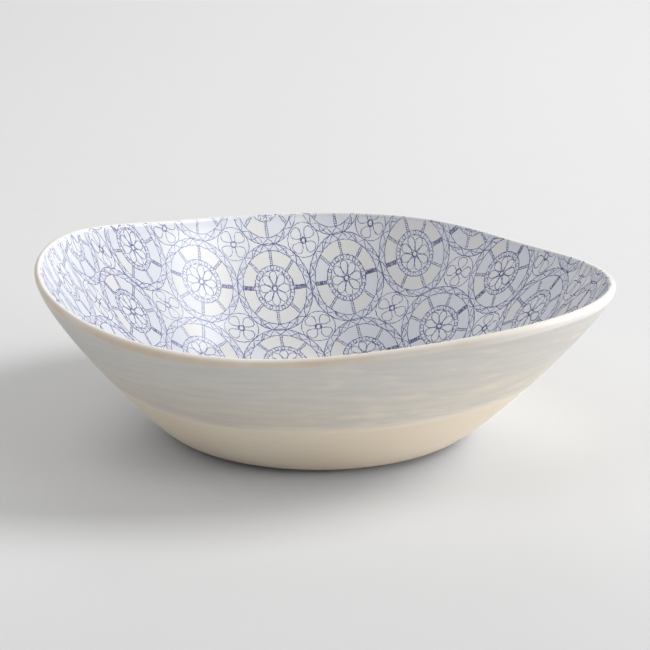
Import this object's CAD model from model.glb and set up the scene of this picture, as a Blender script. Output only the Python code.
import math

import bpy
import numpy as np
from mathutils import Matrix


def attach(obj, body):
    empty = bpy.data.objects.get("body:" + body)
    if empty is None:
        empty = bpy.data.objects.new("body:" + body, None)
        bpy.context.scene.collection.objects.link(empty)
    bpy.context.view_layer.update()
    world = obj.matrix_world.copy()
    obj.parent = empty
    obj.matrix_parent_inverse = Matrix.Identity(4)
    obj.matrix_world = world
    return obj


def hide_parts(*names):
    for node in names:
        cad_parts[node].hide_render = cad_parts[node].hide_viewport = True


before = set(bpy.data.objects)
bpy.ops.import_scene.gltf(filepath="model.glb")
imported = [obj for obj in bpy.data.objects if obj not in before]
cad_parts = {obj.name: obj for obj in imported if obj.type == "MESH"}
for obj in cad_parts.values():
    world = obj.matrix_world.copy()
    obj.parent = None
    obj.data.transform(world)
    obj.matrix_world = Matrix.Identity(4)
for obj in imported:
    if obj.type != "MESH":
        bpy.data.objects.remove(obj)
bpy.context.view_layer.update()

MM = 0.001

# ---- Form of the bowl: the same curves as the CAD part, in millimetres ----
RIM_RADIUS = 157.4
RIM_HEIGHT = 92.8
RADIUS_WAVES = ((1, 0.0, -0.011), (2, -0.012, -0.025), (3, 0.004, -0.082), (4, -0.0085, -0.008))
HEIGHT_WAVES = ((1, -2.3, -0.5), (2, 8.0, -2.5), (3, -3.4, -1.2))
RIM_DIP = 2.2                   # the rim also sags a little on its long low side
RIM_DIP_BEARING = math.radians(-68)
RIM_DIP_SHARPNESS = 6
WAVE_DECAY = 1.27
BASE_RADIUS = 88.3
BASE_HEIGHT = 3.2
BASE_SLOPE = math.radians(16)
BASE_HANDLE = 11.2
LIP_SLOPE = math.radians(82)
LIP_HANDLE = 15.3
LIP_THICKNESS = 3.3
WALL_THICKNESS = 4.6
FLOOR_HEIGHT = 6.6
FLOOR_FLAT_RADIUS = 30.0
FLOOR_SOFTNESS = 0.7
FLOOR_JOIN = 0.30
UNDERSIDE_HEIGHT = 1.8
UNDERSIDE_RADIUS = 81.0
RECESS_RADIUS = 68.0
RECESS_DEPTH = 1.2
MIDDLE_RADIUS = 1.0             # innermost ring of the floor and of the underside
SHOULDER_FLAT = 2.4             # handles of the turn from the underside up to the wall
SHOULDER_RISE = 4.2
GLAZE_START = 0.45              # share of the shoulder left bare beside the foot
RIM_START = 0.945               # share up the wall where the rim strip begins outside
RIM_END = 0.988                 # and where it ends inside
BRUSH_EDGE = 0.458              # mean lower edge of the brushed band
COAT = 0.3                      # glaze thickness outside, and with the brushed coat or inside
FULL_COAT = 0.6
LIFT = 0.02                     # gap that keeps a coat's lower face off the clay
FEATHER = 0.25                  # share of the brushed band over which it reaches its full thickness
FEATHER_POWER = 0.6

AROUND = 480                    # mesh columns around the bowl
ANGLES = np.linspace(0, 2 * np.pi, AROUND, endpoint=False)[:, None]
SHARP_ANGLE = math.radians(35)


def wave(angle, waves):
    """Sum of (times round, cosine, sine) waves at these bearings."""
    return sum(c * np.cos(n * angle) + s * np.sin(n * angle) for n, c, s in waves)


def bezier(start, first, second, end, t):
    """Cubic curve through (radius, height) corners."""
    weights = ((1 - t) ** 3, 3 * t * (1 - t) ** 2, 3 * t * t * (1 - t), t ** 3)
    corners = (start, first, second, end)
    return tuple(sum(w * c[i] for w, c in zip(weights, corners)) for i in (0, 1))


def along(start, slope, length):
    """(radius, height) that lies this far from the start at this slope."""
    return start[0] + length * math.cos(slope), start[1] + length * math.sin(slope)


def wall_outside(angle, t):
    """Outside of the clay from the shoulder, t = 0, to the lip, t = 1."""
    start = (BASE_RADIUS, BASE_HEIGHT)
    end = (RIM_RADIUS, RIM_HEIGHT)
    first = along(start, BASE_SLOPE, BASE_HANDLE)
    second = along(end, LIP_SLOPE, -LIP_HANDLE)
    radius, height = bezier(start, first, second, end, t)
    rise = np.maximum(height - BASE_HEIGHT, 0) / (RIM_HEIGHT - BASE_HEIGHT)
    radius = radius + RIM_RADIUS * wave(angle, RADIUS_WAVES) * rise
    dip = RIM_DIP * ((1 + np.cos(angle - RIM_DIP_BEARING)) / 2) ** RIM_DIP_SHARPNESS
    height = height + (wave(angle, HEIGHT_WAVES) - dip) * rise ** WAVE_DECAY
    return radius, height


def direction(curve, angle, t, step=0.002):
    """Unit tangent of a profile curve, as (radius, height) parts."""
    r0, z0 = curve(angle, np.maximum(t - step, 0))
    r1, z1 = curve(angle, np.minimum(t + step, 1))
    length = np.hypot(r1 - r0, z1 - z0)
    return (r1 - r0) / length, (z1 - z0) / length


def wall_inside(angle, t):
    """Inside of the clay, one wall thickness in from the outside."""
    radius, height = wall_outside(angle, t)
    tr, tz = direction(wall_outside, angle, t)
    thickness = LIP_THICKNESS + (WALL_THICKNESS - LIP_THICKNESS) * (1 - t)
    return radius - thickness * tz, height + thickness * tr


def floor_curve(angle, t):
    """Soft turn from the inside wall down to the flat floor."""
    join = np.full_like(angle, FLOOR_JOIN)
    end = wall_inside(angle, join)
    tr, tz = direction(wall_inside, angle, join)
    corner = end[0] - (end[1] - FLOOR_HEIGHT) * tr / tz
    near_radius = end[0] + FLOOR_SOFTNESS * (corner - end[0])
    near_height = end[1] + FLOOR_SOFTNESS * (FLOOR_HEIGHT - end[1])
    far_radius = FLOOR_FLAT_RADIUS + FLOOR_SOFTNESS * (corner - FLOOR_FLAT_RADIUS)
    flat_edge = (FLOOR_FLAT_RADIUS, FLOOR_HEIGHT)
    return bezier(end, (near_radius, near_height), (far_radius, FLOOR_HEIGHT), flat_edge, t)


def shoulder(angle, t):
    """Turn from the flat underside up to the outside wall."""
    start = (UNDERSIDE_RADIUS, UNDERSIDE_HEIGHT)
    end = (BASE_RADIUS, BASE_HEIGHT)
    first = along(start, 0, SHOULDER_FLAT)
    second = along(end, BASE_SLOPE, -SHOULDER_RISE)
    radius, height = bezier(start, first, second, end, t)
    return radius + 0 * angle, height + 0 * angle


def lip(angle, t):
    """Half round from the outside wall over to the inside wall."""
    one = np.ones_like(angle)
    ro, zo = wall_outside(angle, one)
    ri, zi = wall_inside(angle, one)
    tr, tz = direction(wall_outside, angle, one)
    half = np.hypot(ro - ri, zo - zi) / 2
    turn = np.pi * t
    radius = (ro + ri) / 2 + (ro - ri) / 2 * np.cos(turn) + half * tr * np.sin(turn)
    height = (zo + zi) / 2 + (zo - zi) / 2 * np.cos(turn) + half * tz * np.sin(turn)
    return radius, height


def flat_floor(angle, t):
    radius = FLOOR_FLAT_RADIUS * (1 - t) + MIDDLE_RADIUS * t
    return radius + 0 * angle, FLOOR_HEIGHT + 0 * angle + 0 * t


def wander(angle, t):
    """Mesh rows on the outside drift with the hand-drawn edge of the brushed band."""
    drift = -0.014 * np.cos(angle) - 0.010 * np.sin(3 * angle + 0.6) + 0.006 * np.sin(7 * angle + 1)
    share = np.where(t < BRUSH_EDGE, t / BRUSH_EDGE, (RIM_START - t) / (RIM_START - BRUSH_EDGE))
    return t + drift * np.clip(share, 0, 1)


def rows(curve, start, end, count):
    """Points of one stretch on every meridian, as (columns, rows) arrays."""
    t = np.linspace(start, end, count)[None, :] + 0 * ANGLES
    if curve is wall_outside:
        t = wander(ANGLES, t)
    return curve(ANGLES, t)


STRETCHES = (                   # name, curve, start and end on it, mesh rows
    ("bare", shoulder, 0, GLAZE_START, 5),
    ("shoulder", shoulder, GLAZE_START, 1, 7),
    ("lower", wall_outside, 0, BRUSH_EDGE, 29),
    ("upper", wall_outside, BRUSH_EDGE, RIM_START, 39),
    ("rim_out", wall_outside, RIM_START, 1, 8),
    ("lip", lip, 0, 1, 17),
    ("rim_in", wall_inside, 1, RIM_END, 4),
    ("wall", wall_inside, RIM_END, FLOOR_JOIN, 60),
    ("floor", floor_curve, 0, 1, 28),
    ("middle", flat_floor, 0, 1, 7),
)


def build_section():
    """One long profile per column, with the row where each stretch begins and ends."""
    radii, heights, marks = [], [], {}
    count = 0
    for name, curve, start, end, number in STRETCHES:
        radius, height = rows(curve, start, end, number)
        skip = 1 if count else 0
        radii.append(radius[:, skip:])
        heights.append(height[:, skip:])
        marks[name] = (max(count - 1, 0), count + number - skip - 1)
        count += number - skip
    radius = np.concatenate(radii, 1)
    height = np.concatenate(heights, 1)
    dr = np.gradient(radius, axis=1)
    dz = np.gradient(height, axis=1)
    length = np.hypot(dr, dz)
    return radius, height, dz / length, -dr / length, marks


RADIUS, HEIGHT, NORMAL_R, NORMAL_Z, MARKS = build_section()


def sheet(first, last, gap):
    """Rings of points, (rows, columns, 3) in metres, on the profile rows first..last raised by gap."""
    part = slice(first, last + 1)
    radius = RADIUS[:, part] + gap * NORMAL_R[:, part]
    height = HEIGHT[:, part] + gap * NORMAL_Z[:, part]
    points = np.stack([radius * np.cos(ANGLES), radius * np.sin(ANGLES), height], -1)
    return points.transpose(1, 0, 2) * MM


def ring_faces(row_count):
    """Quads joining consecutive rings."""
    row = np.arange(row_count - 1)[:, None] * AROUND
    column = np.arange(AROUND)[None, :]
    after = (column + 1) % AROUND
    quads = np.stack([row + column, row + after, row + AROUND + after, row + AROUND + column], -1)
    return quads.reshape(-1, 4)


def neighbours():
    """(column, next column) all the way round."""
    return [(i, (i + 1) % AROUND) for i in range(AROUND)]


def new_mesh(name, points, faces):
    mesh = bpy.data.meshes.new(name)
    mesh.from_pydata([tuple(p) for p in points], [], [tuple(f) for f in faces])
    mesh.update()
    piece = bpy.data.objects.new(name, mesh)
    bpy.context.scene.collection.objects.link(piece)
    return piece


def shade(piece):
    """Smooth shading that keeps the thin edges crisp."""
    piece.data.polygons.foreach_set("use_smooth", [True] * len(piece.data.polygons))
    piece.data.set_sharp_from_angle(angle=SHARP_ANGLE)


def coat(name, first, last, low, high, closed_middle=False):
    """Closed glaze shell on the profile rows first..last, between the gaps low and high."""
    outer = sheet(first, last, high)
    inner = sheet(first, last, low)[::-1]
    count = last - first + 1
    points = np.concatenate([outer, inner]).reshape(-1, 3)
    faces = ring_faces(2 * count).tolist()
    if closed_middle:
        edge = (count - 1) * AROUND
        del faces[edge:edge + AROUND]
        centre = len(points)
        centres = [[0, 0, (FLOOR_HEIGHT + gap) * MM] for gap in (high, low)]
        points = np.concatenate([points, centres])
        for i, after in neighbours():
            faces.append((edge + i, edge + after, centre))
            faces.append((edge + AROUND + after, edge + AROUND + i, centre + 1))
    last_ring = (2 * count - 1) * AROUND
    for i, after in neighbours():
        faces.append((last_ring + i, last_ring + after, after, i))
    piece = new_mesh(name, points, faces)
    shade(piece)
    return piece


def brushed_gap():
    """Top of the brushed band, which thins out to nothing at its lower edge."""
    first, last = MARKS["upper"]
    share = np.linspace(0, 1, last - first + 1)[None, :]
    start = COAT + LIFT
    return start + (FULL_COAT - start) * np.clip(share / FEATHER, 0, 1) ** FEATHER_POWER


# ---- Lace print: a slightly stretched sheet of medallions laid over the inside ----
# The sheet is drawn on a unit lattice, one wheel per whole number pair, with places as complex numbers.
# LAY says how the sheet was stretched when it was draped: each pair of powers of (place - LAY_CENTRE) and
# of its mirror image has a factor. Their sum, in LAY_UNIT, is the draped place: its length is the distance
# along the surface from the middle of the floor, and its angle is the bearing.
LAY_CENTRE = 0.5 - 1.5j
LAY_REACH = 5.2                 # places farther out than this lie beyond the rim
LAY_UNIT = 100                  # mm
LATTICE_COLUMNS = range(-6, 8)
LATTICE_ROWS = range(-8, 5)
LAY = (
    ((0, 0), 0.0783 + 0.5509j),
    ((1, 0), 0.5279 + 0.0619j),
    ((0, 1), -0.0254 - 0.0065j),
    ((2, 0), 0.0073 - 0.0134j),
    ((1, 1), -0.0047 - 0.0034j),
    ((0, 2), -0.0003 - 0.0109j),
    ((3, 0), -0.0008 - 0.0009j),
    ((2, 1), 0.0041 + 0.0017j),
    ((1, 2), 0.0016 - 0.0008j),
    ((0, 3), 0.0016 - 0.0012j),
)
PRINT_LIP_ROW = 10              # row of the lip where the print ends, just inside its crown
PRINT_EDGE = 0.3                # mm of plain glaze between that row and the print
TABLE = 420                     # steps along each meridian of the table of the inside surface
LINE_TOP = 0.045                # mm from the glaze surface to the top of a line, and to its hidden base
LINE_BASE = -0.03
PATCH_TOP = 0.02
STROKE_STEP = 0.028             # longest step along a stroke, as a share of the wheel pitch
LINE_WANDER = 0.15              # mm the drawn lines stray from their shape
THICK_WANDER = 0.34             # share by which their width varies
THICK_LIMIT = 1.6               # and the most it varies, in times that share
TINY = 1e-6

rng = np.random.default_rng(11)


def inside_table():
    """Points and normals on top of the inside glaze, even steps along every meridian."""
    first, last = MARKS["lip"][0] + PRINT_LIP_ROW, MARKS["middle"][1]
    part = slice(first, last + 1)
    radius = (RADIUS + FULL_COAT * NORMAL_R)[:, part][:, ::-1]
    height = (HEIGHT + FULL_COAT * NORMAL_Z)[:, part][:, ::-1]
    steps = np.hypot(np.diff(radius, axis=1), np.diff(height, axis=1))
    length = np.concatenate([radius[:, :1], radius[:, :1] + np.cumsum(steps, 1)], 1)
    reach = length[:, -1]
    even = np.linspace(0, 1, TABLE)
    table = np.empty((AROUND, TABLE, 4))
    for i in range(AROUND):
        distance = even * reach[i]
        normal_r = NORMAL_R[i, part][::-1]
        normal_z = NORMAL_Z[i, part][::-1]
        for k, values in enumerate((radius[i], height[i], normal_r, normal_z)):
            table[i, :, k] = np.interp(distance, length[i], values)
        near = distance < radius[i, 0]
        table[i, near, 0] = distance[near]
    return table, reach


INSIDE_TABLE, INSIDE_REACH = inside_table()


def reach_at(bearing):
    """Length along the surface from the middle of the floor to the end of the table, on the lip."""
    column = (bearing / (2 * np.pi) % 1) * AROUND
    low = np.floor(column).astype(int) % AROUND
    part = column - np.floor(column)
    return INSIDE_REACH[low] * (1 - part) + INSIDE_REACH[(low + 1) % AROUND] * part


def on_inside(draped):
    """Draped places to (points, normals) on top of the inside glaze, in mm."""
    bearing = np.angle(draped)
    share = np.clip(np.abs(draped) / reach_at(bearing), 0, 1) * (TABLE - 1)
    column = (bearing / (2 * np.pi) % 1) * AROUND
    c0 = np.floor(column).astype(int) % AROUND
    c1 = (c0 + 1) % AROUND
    fc = (column - np.floor(column))[..., None]
    r0 = np.minimum(np.floor(share).astype(int), TABLE - 2)
    fr = (share - r0)[..., None]
    low = INSIDE_TABLE[c0, r0] * (1 - fr) + INSIDE_TABLE[c0, r0 + 1] * fr
    high = INSIDE_TABLE[c1, r0] * (1 - fr) + INSIDE_TABLE[c1, r0 + 1] * fr
    found = low * (1 - fc) + high * fc
    cos_b, sin_b = np.cos(bearing), np.sin(bearing)
    points = np.stack([found[..., 0] * cos_b, found[..., 0] * sin_b, found[..., 1]], -1)
    normals = np.stack([found[..., 2] * cos_b, found[..., 2] * sin_b, found[..., 3]], -1)
    return points, normals


def drape(place):
    """Lattice places to draped places, in mm."""
    from_centre = place - LAY_CENTRE
    mirror = np.conj(from_centre)
    return LAY_UNIT * sum(factor * from_centre ** m * mirror ** n for (m, n), factor in LAY)


def inside_print(draped):
    """True where the sheet still lies below its edge on the lip."""
    return np.abs(draped) < reach_at(np.angle(draped)) - PRINT_EDGE


def circle(centre, radius, count):
    t = np.linspace(0, 2 * np.pi, count + 1)
    return centre + radius * np.exp(1j * t)


def zigzag(centre, inner, outer, teeth):
    """Closed line that swings between two circles."""
    t = np.linspace(0, 2 * np.pi, 2 * teeth + 1)
    radius = np.where(np.arange(2 * teeth + 1) % 2 == 0, inner, outer)
    return centre + radius * np.exp(1j * t)


def petal(centre, bearing, start, end, width, count=14):
    """Loop that leaves the centre in a point and comes back round."""
    t = np.linspace(0, 2 * np.pi, count + 1)
    out = (1 - np.cos(t)) / 2
    outward = start + (end - start) * out
    sideways = width * np.sin(t) * out ** 0.45
    return centre + (outward + 1j * sideways) * np.exp(1j * bearing)


# Radii are shares of the wheel pitch, and line widths are mm.
OUTER_RING = 0.508
PANEL_OUTSIDE = 0.430
PANEL_INSIDE = 0.266
BEAD_INSIDE = 0.212
TEETH = 20
BEADS = 18
SPOKES = 8
HEAVY_EVERY = 4                 # every fourth spoke is a dark ladder
HUB = 0.034
PETAL_START = 0.036
PLAIN_LINE = 0.42
THICK_LINE = 0.46
LIGHT_SPOKE = (0.014, 0.36, 0.36, 7)   # half width, edge line, rung line, rungs
HEAVY_SPOKE = (0.021, 0.44, 0.62, 10)


def spoke_strokes(centre, bearing, half, edge_width, rung_width, rungs):
    """Ladder from the bead ring to the outer ring."""
    turn = np.exp(1j * bearing)
    strokes = []
    for side in (-1, 1):
        ends = np.array([PANEL_INSIDE, PANEL_OUTSIDE]) + 1j * side * half
        strokes.append((centre + ends * turn, edge_width))
    for rung in np.linspace(PANEL_INSIDE + 0.016, PANEL_OUTSIDE - 0.012, rungs):
        cross = np.array([rung - 1j * half, rung + 0.010 + 1j * half])
        strokes.append((centre + cross * turn, rung_width))
    return strokes


def medallion(centre):
    """Strokes of one lace wheel as (places, width)."""
    strokes = [
        (circle(centre, OUTER_RING, count=72), 0.48),
        (circle(centre, PANEL_OUTSIDE, count=64), THICK_LINE),
        (zigzag(centre, PANEL_OUTSIDE + 0.006, OUTER_RING - 0.006, TEETH), PLAIN_LINE),
        (circle(centre, PANEL_INSIDE, count=44), THICK_LINE),
        (circle(centre, BEAD_INSIDE, count=36), PLAIN_LINE),
        (circle(centre, HUB, count=12), 0.95),
    ]
    bead_ring = (PANEL_INSIDE + BEAD_INSIDE) / 2
    for k in range(BEADS):
        spot = centre + bead_ring * np.exp(2j * np.pi * (k + 0.5) / BEADS)
        strokes.append((circle(spot, 0.023, count=8), PLAIN_LINE))
    for k in range(SPOKES):
        bearing = 2 * np.pi * k / SPOKES
        kind = HEAVY_SPOKE if k % HEAVY_EVERY == 0 else LIGHT_SPOKE
        strokes += spoke_strokes(centre, bearing, *kind)
        strokes.append((petal(centre, bearing, PETAL_START, 0.202, 0.064), PLAIN_LINE))
    return strokes


FLORET_WIDE = 1.08              # florets are a little wider than tall
FLORET_TALL = 0.90
FLORET_PETALS = 4


def floret(centre):
    """Strokes of the small four-petalled flower between four wheels, and the sweeps that tie it to them."""
    flower = [(circle(0, 0.205, count=36), PLAIN_LINE), (circle(0, HUB, count=12), 1.0)]
    for k in range(FLORET_PETALS):
        bearing = np.pi / 2 * (k + 0.5)
        flower.append((petal(0, bearing, PETAL_START, 0.184, 0.088), PLAIN_LINE))
    strokes = []
    for places, width in flower:
        strokes.append((centre + FLORET_WIDE * places.real + 1j * FLORET_TALL * places.imag, width))
    t = np.linspace(0, 1, 7)
    for k in range(FLORET_PETALS):
        corner = centre + 0.5 * np.exp(1j * np.pi / 2 * k)
        inward = np.exp(1j * (np.pi / 2 * k + np.pi))
        tip = corner + 0.10 * inward
        for side in (-1, 1):
            foot = corner + (0.245 + 0.150j * side) * inward
            bend = corner + (0.205 + 0.045j * side) * inward
            sweep = (1 - t) ** 2 * tip + 2 * t * (1 - t) * bend + t ** 2 * foot
            strokes.append((sweep, 0.40))
    return strokes


def lattice_places(shift=0):
    """Whole number pairs, moved by shift, that can lie on the inside."""
    places = [complex(i, j) + shift for j in LATTICE_ROWS for i in LATTICE_COLUMNS]
    return [p for p in places if abs(p - LAY_CENTRE) < LAY_REACH]


def unit(vectors):
    return vectors / np.maximum(np.linalg.norm(vectors, axis=1, keepdims=True), TINY)


def ribbon(draped, width, closed):
    """Corner points, (n, 4, 3) in mm, of a raised line with a flat top."""
    points, normals = on_inside(draped)
    if closed:
        ahead = np.roll(points, -1, 0) - np.roll(points, 1, 0)
    else:
        ahead = np.gradient(points, axis=0)
    half = unit(np.cross(normals, unit(ahead))) * (width[:, None] / 2)
    top = normals * LINE_TOP
    base = normals * LINE_BASE
    corners = [points + half + top, points - half + top, points - half + base, points + half + base]
    return np.stack(corners, 1)


def runs(keep):
    """(start, stop) of every run of True."""
    edges = np.flatnonzero(np.diff(np.concatenate([[False], keep, [False]]).astype(int)))
    return list(zip(edges[::2], edges[1::2]))


def refined(places):
    """The same stroke with points close enough together to follow the curved wall."""
    fine = [places[:1]]
    for a, b in zip(places, places[1:]):
        parts = max(1, math.ceil(abs(b - a) / STROKE_STEP))
        fine.append(a + (b - a) * np.arange(1, parts + 1) / parts)
    return np.concatenate(fine)


def stroke_ribbons(places, width):
    """(ribbon, closed) of each run of the stroke that lies on the print."""
    places = refined(places)
    draped = drape(places)
    keep = inside_print(draped)
    closed = abs(places[0] - places[-1]) < TINY
    count = len(places)
    widths = width * (1 + THICK_WANDER * rng.standard_normal(count).clip(-THICK_LIMIT, THICK_LIMIT))
    draped = draped + LINE_WANDER * (rng.standard_normal(count) + 1j * rng.standard_normal(count))
    if keep.all() and closed:
        return [(ribbon(draped[:-1], widths[:-1], True), True)]
    return [(ribbon(draped[a:b], widths[a:b], False), False) for a, b in runs(keep) if b - a > 1]


def ribbon_piece(name, ribbons):
    """One mesh of closed raised lines."""
    points, faces = [], []
    base = 0
    for corners, closed in ribbons:
        n = len(corners)
        points.append(corners.reshape(-1, 3))
        for i in range(n if closed else n - 1):
            a = base + 4 * i
            b = base + 4 * ((i + 1) % n)
            for k in range(4):
                m = (k + 1) % 4
                faces.append((a + k, a + m, b + m, b + k))
        if not closed:
            end = base + 4 * (n - 1)
            faces.append((base + 3, base + 2, base + 1, base))
            faces.append((end, end + 1, end + 2, end + 3))
        base += 4 * n
    piece = new_mesh(name, np.concatenate(points) * MM, faces)
    shade(piece)
    return piece


def outline(quads):
    """Edges that only one quad uses, in order and direction."""
    edges = {}
    for quad in quads:
        for k in range(4):
            edge = (quad[k], quad[(k + 1) % 4])
            if edge[::-1] in edges:
                del edges[edge[::-1]]
            else:
                edges[edge] = True
    return edges


def patch_piece(name, patches):
    """One mesh of thin closed patches, each given as a (rows, columns) grid of lattice places."""
    points, faces = [], []
    base = 0
    for grid in patches:
        draped = drape(grid)
        keep = inside_print(draped)
        whole = keep[:-1, :-1] | keep[1:, :-1] | keep[:-1, 1:] | keep[1:, 1:]
        if not whole.any():
            continue
        limit = (reach_at(np.angle(draped)) - PRINT_EDGE) / np.maximum(np.abs(draped), TINY)
        surface, normals = on_inside(draped * np.minimum(limit, 1))
        top = surface + normals * PATCH_TOP
        under = surface + normals * LINE_BASE
        columns = grid.shape[1]
        lower = base + grid.size
        quads = []
        for r, c in zip(*np.nonzero(whole)):
            corner = r * columns + c
            quads.append([corner, corner + 1, corner + columns + 1, corner + columns])
        for quad in quads:
            faces.append([base + q for q in quad])
            faces.append([lower + q for q in quad[::-1]])
        for first, second in outline(quads):
            faces.append([base + second, base + first, lower + first, lower + second])
        points += [top.reshape(-1, 3), under.reshape(-1, 3)]
        base += 2 * grid.size
    piece = new_mesh(name, np.concatenate(points) * MM, faces)
    shade(piece)
    return piece


def sector(centre, inner, outer, start, end, row_count, column_count):
    """Grid of places between two circles and two bearings."""
    radius = np.linspace(inner, outer, row_count)[:, None]
    bearing = np.linspace(start, end, column_count)[None, :]
    return centre + radius * np.exp(1j * bearing)


def near_print(centre, size):
    """True if a motif of this size round the place can touch the print."""
    ring = drape(circle(centre, size, count=16))
    middle = drape(np.array([centre]))
    return inside_print(np.concatenate([ring, middle])).any()


WHEEL_SIZE = 0.75
FLORET_SIZE = 0.6
FLORET_SHIFT = 0.5 + 0.5j       # florets lie half a pitch off the wheels
FILL_GAP = 0.002                # between a colour fill and the rings that bound it
PANEL_MARGIN = 0.006
PANEL_ANGLE = 0.055             # radians from the middle of a spoke to the panel beside it
WARM_WHEELS = (-1, 0, 1, 2, -1j)  # places of the wheels whose panels are mostly warm white
WARM_MOSTLY = 0.8
WARM_SELDOM = 0.2


def wheel_fills(wheels):
    """Patches of colour: (bands, warm panels, cool panels)."""
    bands, warm, cool = [], [], []
    for centre in wheels:
        bands.append(sector(centre, PANEL_OUTSIDE + FILL_GAP, OUTER_RING - FILL_GAP, 0, 2 * np.pi, 5, 73))
        bands.append(sector(centre, BEAD_INSIDE + FILL_GAP, PANEL_INSIDE - FILL_GAP, 0, 2 * np.pi, 4, 49))
        warm_share = WARM_MOSTLY if centre in WARM_WHEELS else WARM_SELDOM
        for k in range(SPOKES):
            start = 2 * np.pi * k / SPOKES + PANEL_ANGLE
            end = 2 * np.pi * (k + 1) / SPOKES - PANEL_ANGLE
            inner = PANEL_INSIDE + PANEL_MARGIN
            outer = PANEL_OUTSIDE - PANEL_MARGIN
            panel = sector(centre, inner, outer, start, end, 7, 9)
            (warm if rng.random() < warm_share else cool).append(panel)
    return bands, warm, cool


def build_lace():
    wheels = [c for c in lattice_places() if near_print(c, WHEEL_SIZE)]
    flowers = [c for c in lattice_places(FLORET_SHIFT) if near_print(c, FLORET_SIZE)]
    ribbons = {"lace_wheels_left": [], "lace_wheels_right": [], "lace_florets": []}
    for centre in wheels:
        side = "lace_wheels_left" if drape(centre).real < 0 else "lace_wheels_right"
        for places, width in medallion(centre):
            ribbons[side] += stroke_ribbons(places, width)
    for centre in flowers:
        for places, width in floret(centre):
            ribbons["lace_florets"] += stroke_ribbons(places, width)
    bands, warm, cool = wheel_fills(wheels)
    pieces = [ribbon_piece(name, found) for name, found in ribbons.items()]
    pieces.append(patch_piece("lace_bands", bands))
    pieces.append(patch_piece("lace_panels_warm", warm))
    pieces.append(patch_piece("lace_panels_cool", cool))
    return pieces


# ---- Materials ----
def srgb(red, green, blue):
    """Linear colour from an 8-bit display colour."""
    values = []
    for value in (red / 255, green / 255, blue / 255):
        if value <= 0.04045:
            values.append(value / 12.92)
        else:
            values.append(((value + 0.055) / 1.055) ** 2.4)
    return (*values, 1.0)


BOUNCE_GREY = srgb(221, 217, 213)
CREAM = srgb(250, 238, 218)
CREAM_DEEP = srgb(245, 229, 205)
MIST = srgb(221, 218, 212)
MIST_WARM = srgb(229, 221, 205)
MIST_DEEP = srgb(211, 208, 204)
RIM_TAN = srgb(223, 207, 186)
RIM_PALE = srgb(246, 240, 232)
RIM_SOFT = srgb(232, 223, 211)
RIM_INNER = srgb(230, 231, 236)
RIM_WHITE = srgb(243, 241, 236)
CLAY = srgb(226, 210, 186)
CLAY_DEEP = srgb(214, 194, 166)
CLAY_FOOT = srgb(216, 198, 172)
CLAY_FOOT_DEEP = srgb(200, 180, 152)
INSIDE = srgb(244, 244, 245)
INSIDE_TINT = srgb(240, 241, 243)
BAND = srgb(237, 238, 244)
BAND_TINT = srgb(233, 235, 242)
WARM = srgb(242, 241, 238)
WARM_TINT = srgb(239, 238, 235)
COOL = srgb(238, 240, 244)
COOL_TINT = srgb(234, 236, 241)
COBALT = srgb(89, 94, 139)
COBALT_THIN = srgb(117, 122, 161)
COBALT_FAINT = srgb(168, 174, 202)
PAPER = srgb(226, 226, 226)
PAPER_PALE = srgb(228, 228, 228)
PAPER_NEAR = srgb(217, 217, 217)

# The mirror reflection of each surface, as the shader's specular level, and its roughness.
INSIDE_SHINE = 0.16
INSIDE_ROUGHNESS = 0.24
SATIN_SHINE = 0.5
RIM_SHINE = 0.3
PAPER_SHINE = 0.1

# Pairs of places across the bowl, in m, between which a look comes in.
GLAZE_DEEPENS = (0.005, -0.115)
GLAZE_CLEARS = (-0.158, -0.130)
GLAZE_DEPTH = (0.83, 0.835, 0.85, 1)   # the deeper glaze, as shares of the plain one
INK_STRIP_RIGHT = (-0.040, -0.062)
INK_STRIP_LEFT = (-0.112, -0.084)
INK_END = (-0.122, -0.145)
INK_FADE = 0.55                 # how far the print fades in a strip up the left side and at the left end
RIM_WARMS = (0.13, 0.03)
PATCHES_START = (-0.10, 0.04)
PAPER_DARKENS = (-0.15, -0.36)  # the same along Y, toward the camera

# Noise scales of the brushed strokes: two around the bowl and one up it.
BROAD_STROKES = (4, 4, 30)
FINE_STROKES = (5, 5, 210)
THIN_PATCHES = (7, 7, 20)
UP_SCALE = 10


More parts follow.
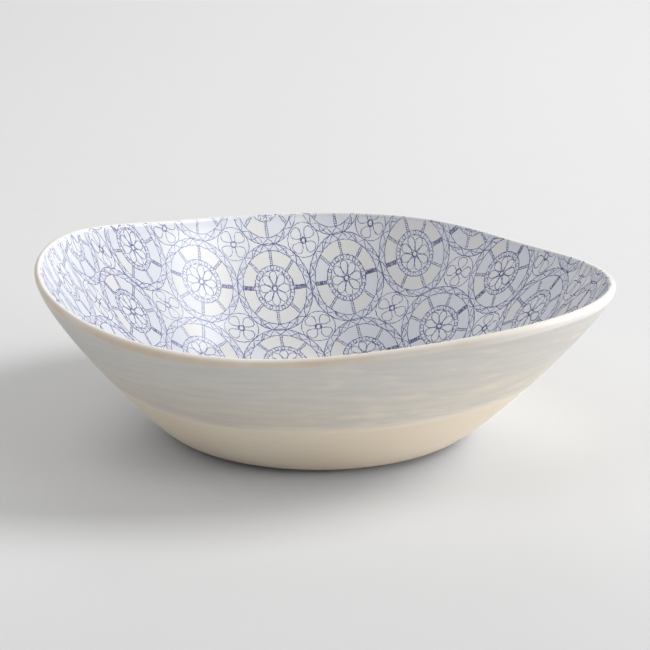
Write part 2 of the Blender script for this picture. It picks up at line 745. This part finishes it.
class Nodes:
    """Short way to build the node tree of a material."""

    def __init__(self, name):
        self.material = bpy.data.materials.new(name)
        self.material.use_nodes = True
        self.tree = self.material.node_tree
        self.shader = self.tree.nodes["Principled BSDF"]

    def add(self, kind, **inputs):
        node = self.tree.nodes.new(kind)
        for key, value in inputs.items():
            self.set(node, key.replace("_", " "), value)
        return node

    def set(self, node, key, value):
        """Links or writes the input with this name or number."""
        socket = node.inputs[key]
        if isinstance(value, bpy.types.NodeSocket):
            self.tree.links.new(value, socket)
        else:
            socket.default_value = value

    def coords(self):
        """Place on the object, in metres."""
        return self.add("ShaderNodeTexCoord").outputs["Object"]

    def place(self, axis):
        split = self.add("ShaderNodeSeparateXYZ", Vector=self.coords())
        return split.outputs[axis]

    def attribute(self, name):
        """Number stored on the points of the mesh."""
        node = self.add("ShaderNodeAttribute")
        node.attribute_name = name
        return node.outputs["Fac"]

    def noise(self, vector, scale, detail, roughness=0.5):
        node = self.add("ShaderNodeTexNoise", Vector=vector, Scale=scale, Detail=detail, Roughness=roughness)
        return node.outputs["Fac"]

    def ramp(self, value, low, high):
        """0..1 as value goes from low to high, which may be the smaller one."""
        node = self.add("ShaderNodeMapRange", Value=value, From_Min=low, From_Max=high)
        node.interpolation_type = "SMOOTHSTEP"
        return node.outputs["Result"]

    def blend(self, share, first, second):
        """The first colour at share 0, the second at share 1."""
        return self.add("ShaderNodeMixRGB", Fac=share, Color1=first, Color2=second).outputs["Color"]

    def maths(self, operation, first, second=0.0):
        node = self.add("ShaderNodeMath")
        node.operation = operation
        self.set(node, 0, first)
        self.set(node, 1, second)
        return node.outputs["Value"]

    def plus(self, first, second):
        return self.maths("ADD", first, second)

    def minus(self, first, second):
        return self.maths("SUBTRACT", first, second)

    def times(self, first, second):
        return self.maths("MULTIPLY", first, second)

    def quiet_bounce(self, colour):
        """The same colour to the camera, and greyer in the light that it throws on the table."""
        ray = self.add("ShaderNodeLightPath")
        return self.blend(ray.outputs["Is Diffuse Ray"], colour, BOUNCE_GREY)

    def bump(self, height, distance, strength):
        node = self.add("ShaderNodeBump", Height=height, Distance=distance, Strength=strength)
        self.set(self.shader, "Normal", node.outputs["Normal"])

    def finish(self, colour, roughness, shine=SATIN_SHINE):
        self.set(self.shader, "Base Color", colour)
        self.set(self.shader, "Roughness", roughness)
        self.set(self.shader, "Specular IOR Level", shine)
        return self.material


def gloss_glaze(name, colour, tint):
    """High gloss glaze with a faint pooled tint, deeper toward the left end, on a barely uneven surface."""
    n = Nodes(name)
    pooled = n.noise(n.coords(), scale=14, detail=2)
    fine = n.noise(n.coords(), scale=160, detail=3)
    glaze = n.blend(n.ramp(pooled, 0.35, 0.68), colour, tint)
    glaze = n.blend(n.times(fine, 0.18), glaze, tint)
    across = n.place("X")
    depth = n.times(n.ramp(across, *GLAZE_DEEPENS), n.ramp(across, *GLAZE_CLEARS))
    deeper = tuple(c * share for c, share in zip(tint, GLAZE_DEPTH))
    glaze = n.blend(depth, glaze, deeper)
    n.bump(n.noise(n.coords(), scale=38, detail=1.5), distance=0.0006, strength=0.35)
    return n.finish(glaze, INSIDE_ROUGHNESS, INSIDE_SHINE)


def print_ink(name):
    """Cobalt line, paler where the print ran thin and in a strip up the left side."""
    n = Nodes(name)
    patchy = n.noise(n.coords(), scale=420, detail=3)
    ink = n.blend(n.ramp(patchy, 0.40, 0.66), COBALT, COBALT_THIN)
    across = n.place("X")
    strip = n.times(n.ramp(across, *INK_STRIP_RIGHT), n.ramp(across, *INK_STRIP_LEFT))
    faded = n.plus(strip, n.ramp(across, *INK_END))
    ink = n.blend(n.times(faded, INK_FADE), ink, COBALT_FAINT)
    return n.finish(ink, INSIDE_ROUGHNESS, INSIDE_SHINE)


def round_and_up(n):
    """Vector that goes round the bowl with X and Y and up it with Z."""
    around = n.attribute("around")
    join = n.add("ShaderNodeCombineXYZ", X=n.maths("SINE", around), Y=n.maths("COSINE", around))
    n.set(join, "Z", n.attribute("up"))
    return join.outputs["Vector"]


def stretched(n, vector, scales):
    node = n.add("ShaderNodeVectorMath")
    node.operation = "MULTIPLY"
    n.set(node, 0, vector)
    n.set(node, 1, scales)
    return node.outputs["Vector"]


def satin_clear(name):
    """Clear satin glaze over cream clay."""
    n = Nodes(name)
    soft = n.noise(n.coords(), scale=9, detail=3)
    speck = n.noise(n.coords(), scale=420, detail=2)
    colour = n.blend(n.ramp(soft, 0.3, 0.7), CREAM, CREAM_DEEP)
    colour = n.blend(n.ramp(speck, 0.62, 0.74), colour, CREAM_DEEP)
    colour = n.quiet_bounce(colour)
    n.bump(n.noise(n.coords(), scale=260, detail=3), distance=0.0003, strength=0.25)
    return n.finish(colour, roughness=0.42)


def brushed_glaze(name):
    """Blue-grey glaze laid on with a broad brush: fine strokes, thin patches and a feathered lower edge."""
    n = Nodes(name)
    vector = round_and_up(n)
    broad = n.noise(stretched(n, vector, BROAD_STROKES), scale=1, detail=4)
    fine = n.noise(stretched(n, vector, FINE_STROKES), scale=1, detail=5, roughness=0.6)
    patch = n.noise(stretched(n, vector, THIN_PATCHES), scale=1, detail=4)
    share = n.attribute("share")
    base = n.blend(n.ramp(share, 0.15, 0.75), MIST_WARM, MIST)
    tone = n.blend(n.times(n.ramp(broad, 0.35, 0.65), 0.6), base, MIST_DEEP)
    tone = n.blend(n.times(n.ramp(fine, 0.45, 0.75), 0.45), tone, MIST_DEEP)
    edge = n.plus(share, n.times(n.minus(fine, 0.5), 0.20))
    cover = n.ramp(edge, 0.0, 0.13)
    thin = n.times(n.ramp(patch, 0.48, 0.74), n.ramp(n.place("X"), *PATCHES_START))
    cover = n.minus(cover, n.times(n.times(thin, 0.42), cover))
    n.bump(fine, distance=0.0003, strength=0.25)
    return n.finish(n.blend(cover, CREAM, tone), roughness=0.38)


def rim_glaze_material(name):
    """Glaze that thins over the lip, so that the warm clay shows along its crown, mostly on the left."""
    n = Nodes(name)
    wobble = n.noise(n.coords(), scale=30, detail=3)
    crown = n.plus(n.attribute("share"), n.times(n.minus(wobble, 0.5), 0.2))
    patchy = n.ramp(n.noise(n.coords(), scale=24, detail=3), 0.34, 0.58)
    warmth = n.times(n.ramp(n.place("X"), *RIM_WARMS), n.plus(n.times(patchy, 0.5), 0.5))
    colour = n.blend(n.ramp(crown, 0.0, 0.14), MIST, n.blend(warmth, RIM_WHITE, RIM_TAN))
    colour = n.blend(n.ramp(crown, 0.26, 0.44), colour, n.blend(warmth, RIM_PALE, RIM_SOFT))
    colour = n.blend(n.ramp(crown, 0.56, 0.78), colour, RIM_INNER)
    n.bump(n.noise(n.coords(), scale=60, detail=2), distance=0.0006, strength=0.3)
    return n.finish(colour, roughness=0.30, shine=RIM_SHINE)


def bare_clay(name, colour, tint):
    n = Nodes(name)
    grain = n.noise(n.coords(), scale=700, detail=4)
    n.bump(grain, distance=0.0003, strength=0.4)
    return n.finish(n.blend(n.ramp(grain, 0.4, 0.7), colour, tint), roughness=0.75)


def paper_floor(name):
    """Pale paper, a little darker toward the camera."""
    n = Nodes(name)
    colour = n.blend(n.noise(n.coords(), scale=30, detail=2), PAPER, PAPER_PALE)
    colour = n.blend(n.ramp(n.place("Y"), *PAPER_DARKENS), colour, PAPER_NEAR)
    return n.finish(colour, roughness=0.9, shine=PAPER_SHINE)


# ---- Pieces ----
def dress(piece, node, material):
    """Gives a piece its material and lets it stand in for a CAD node."""
    piece.data.materials.append(material)
    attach(piece, "root")
    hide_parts(node)


def set_attribute(piece, name, values):
    attribute = piece.data.attributes.new(name, "FLOAT", "POINT")
    attribute.data.foreach_set("value", np.asarray(values, np.float32).ravel())


def mark_surface(piece, first, last):
    """Stores the bearing, the height up the wall and the share of the stretch on a coat's points."""
    count = last - first + 1
    around = np.tile(ANGLES[:, 0], (2 * count, 1))
    up = (HEIGHT[:, first:last + 1] * MM).T * UP_SCALE
    share = np.repeat(np.linspace(0, 1, count)[:, None], AROUND, 1)
    set_attribute(piece, "around", around)
    set_attribute(piece, "up", np.concatenate([up, up[::-1]]))
    set_attribute(piece, "share", np.concatenate([share, share[::-1]]))


def build_coats():
    shoulder_first = MARKS["shoulder"][0]
    brush_first, rim_first = MARKS["upper"]
    rim_last = MARKS["rim_in"][1]
    last = MARKS["middle"][1]
    clear = coat("glaze_outside", shoulder_first, rim_first, LIFT, COAT)
    mark_surface(clear, shoulder_first, rim_first)
    brushed = coat("glaze_brushed", brush_first, rim_first, COAT, brushed_gap())
    mark_surface(brushed, brush_first, rim_first)
    rim = coat("glaze_rim", rim_first, rim_last, LIFT, FULL_COAT)
    mark_surface(rim, rim_first, rim_last)
    inside = coat("glaze_inside", rim_last, last, LIFT, FULL_COAT, closed_middle=True)
    dress(clear, "exterior_glaze", satin_clear("satin_clear"))
    dress(brushed, "brushed_band", brushed_glaze("brushed_glaze"))
    dress(rim, "rim_glaze", rim_glaze_material("rim_gloss"))
    dress(inside, "interior_glaze", gloss_glaze("inside_gloss", INSIDE, INSIDE_TINT))


def finish_lace():
    ink = print_ink("cobalt_line")
    fills = {
        "lace_bands": gloss_glaze("print_pale", BAND, BAND_TINT),
        "lace_panels_warm": gloss_glaze("print_warm", WARM, WARM_TINT),
        "lace_panels_cool": gloss_glaze("print_cool", COOL, COOL_TINT),
    }
    for piece in build_lace():
        dress(piece, "lace_print", fills.get(piece.name, ink))


def underside_rings():
    """(radius, height) of rings across the flat underside and up its shallow domed recess."""
    dome_radius = (RECESS_RADIUS ** 2 + RECESS_DEPTH ** 2) / (2 * RECESS_DEPTH)
    rings = [((UNDERSIDE_RADIUS + RECESS_RADIUS) / 2, UNDERSIDE_HEIGHT), (RECESS_RADIUS, UNDERSIDE_HEIGHT)]
    for radius in np.linspace(RECESS_RADIUS, MIDDLE_RADIUS, 10)[1:]:
        drop = dome_radius - math.sqrt(dome_radius ** 2 - radius ** 2)
        rings.append((radius, UNDERSIDE_HEIGHT + RECESS_DEPTH - drop))
    return rings


def build_clay():
    """Closed clay body: inside floor, wall, lip, outside, and the underside with its recess."""
    rings = [*sheet(0, MARKS["middle"][1], 0)[::-1]]
    for radius, height in underside_rings():
        ring = np.stack([radius * np.cos(ANGLES[:, 0]), radius * np.sin(ANGLES[:, 0])], -1)
        rings.append(np.concatenate([ring, np.full((AROUND, 1), height)], 1) * MM)
    points = np.concatenate(rings)
    faces = ring_faces(len(rings))[:, ::-1].tolist()
    bottom = (len(rings) - 1) * AROUND
    centre = len(points)
    centres = [[0, 0, height * MM] for height in (FLOOR_HEIGHT, UNDERSIDE_HEIGHT + RECESS_DEPTH)]
    points = np.concatenate([points, centres])
    for i, after in neighbours():
        faces.append((i, after, centre))
        faces.append((bottom + after, bottom + i, centre + 1))
    clay = new_mesh("clay_body_surface", points, faces)
    shade(clay)
    dress(clay, "clay_body", bare_clay("fired_clay", CLAY, CLAY_DEEP))


def finish_foot():
    """The foot ring keeps its CAD shape and gets the fired clay look."""
    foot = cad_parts["foot_ring"]
    material = bare_clay("fired_foot", CLAY_FOOT, CLAY_FOOT_DEEP)
    if not foot.material_slots:
        foot.data.materials.append(material)
    for material_slot in foot.material_slots:
        material_slot.material = material


# ---- Studio ----
CAMERA_ELEVATION = math.radians(16.4)
CAMERA_DISTANCE = 1.000
CAMERA_TARGET = (0.0038, 0.0, 0.0588)
CAMERA_REACH = 20               # m that the camera sees
SENSOR = 36.0
FOCAL_PIXELS = 1717
PICTURE = 650
PAPER_HALF = 12                 # m from the bowl to the edge of the paper
WORLD_TOP = 0.45                # strength of the surround straight up; it fades to none straight down
LIGHT_REACH = 5.0               # m from the bowl to every lamp
LIGHT_AIM = (0, 0, 0.05)
LAMPS = (                       # name, bearing and elevation in degrees, size in m, power in W
    ("key_right", 10, 38, 2.0, 160),
    ("key_low", -15, 8, 2.5, 122),
    ("fill_left", 180, 30, 3.0, 11),
    ("fill_back", 90, 30, 3.0, 44),
    ("fill_high", -150, 60, 3.0, 33),
)


def place_camera():
    data = bpy.data.cameras.new("camera")
    data.sensor_width = SENSOR
    data.lens = FOCAL_PIXELS / PICTURE * SENSOR
    data.clip_end = CAMERA_REACH
    camera = bpy.data.objects.new("camera", data)
    back = (0, -math.cos(CAMERA_ELEVATION), math.sin(CAMERA_ELEVATION))
    camera.location = [t + CAMERA_DISTANCE * b for t, b in zip(CAMERA_TARGET, back)]
    camera.rotation_euler = (math.pi / 2 - CAMERA_ELEVATION, 0, 0)
    bpy.context.scene.collection.objects.link(camera)
    bpy.context.scene.camera = camera


def area_light(name, bearing, elevation, size, power):
    """Square lamp on the sphere of lamps, turned to the bowl."""
    data = bpy.data.lights.new(name, "AREA")
    data.size = size
    data.energy = power
    across = LIGHT_REACH * math.cos(elevation)
    place = (across * math.cos(bearing), across * math.sin(bearing), LIGHT_REACH * math.sin(elevation))
    way = np.array(LIGHT_AIM) - np.array(place)
    lamp = bpy.data.objects.new(name, data)
    lamp.location = place
    tilt = math.atan2(math.hypot(way[0], way[1]), -way[2])
    lamp.rotation_euler = (tilt, 0, math.atan2(way[1], way[0]) - math.pi / 2)
    bpy.context.scene.collection.objects.link(lamp)


def place_world():
    """Soft studio surround, brighter overhead."""
    world = bpy.data.worlds.new("studio")
    world.use_nodes = True
    tree = world.node_tree
    source = tree.nodes.new("ShaderNodeTexCoord")
    facing = tree.nodes.new("ShaderNodeVectorMath")
    facing.operation = "DOT_PRODUCT"
    facing.inputs[1].default_value = (0, 0, 1)
    spread = tree.nodes.new("ShaderNodeMapRange")
    spread.inputs["From Min"].default_value = -1.0
    spread.inputs["From Max"].default_value = 1.0
    spread.inputs["To Min"].default_value = 0.0
    spread.inputs["To Max"].default_value = WORLD_TOP
    background = tree.nodes["Background"]
    background.inputs["Color"].default_value = (1, 1, 1, 1)
    tree.links.new(source.outputs["Generated"], facing.inputs[0])
    tree.links.new(facing.outputs["Value"], spread.inputs["Value"])
    tree.links.new(spread.outputs["Result"], background.inputs["Strength"])
    bpy.context.scene.world = world


def place_studio():
    corners = [(-1, -1), (1, -1), (1, 1), (-1, 1)]
    floor = new_mesh("floor", [(x * PAPER_HALF, y * PAPER_HALF, 0) for x, y in corners], [(0, 1, 2, 3)])
    floor.data.materials.append(paper_floor("paper_floor"))
    place_world()
    for name, bearing, elevation, size, power in LAMPS:
        area_light(name, math.radians(bearing), math.radians(elevation), size, power)
    bpy.context.scene.view_settings.view_transform = "Standard"


build_coats()
finish_lace()
build_clay()
finish_foot()
place_studio()
place_camera()
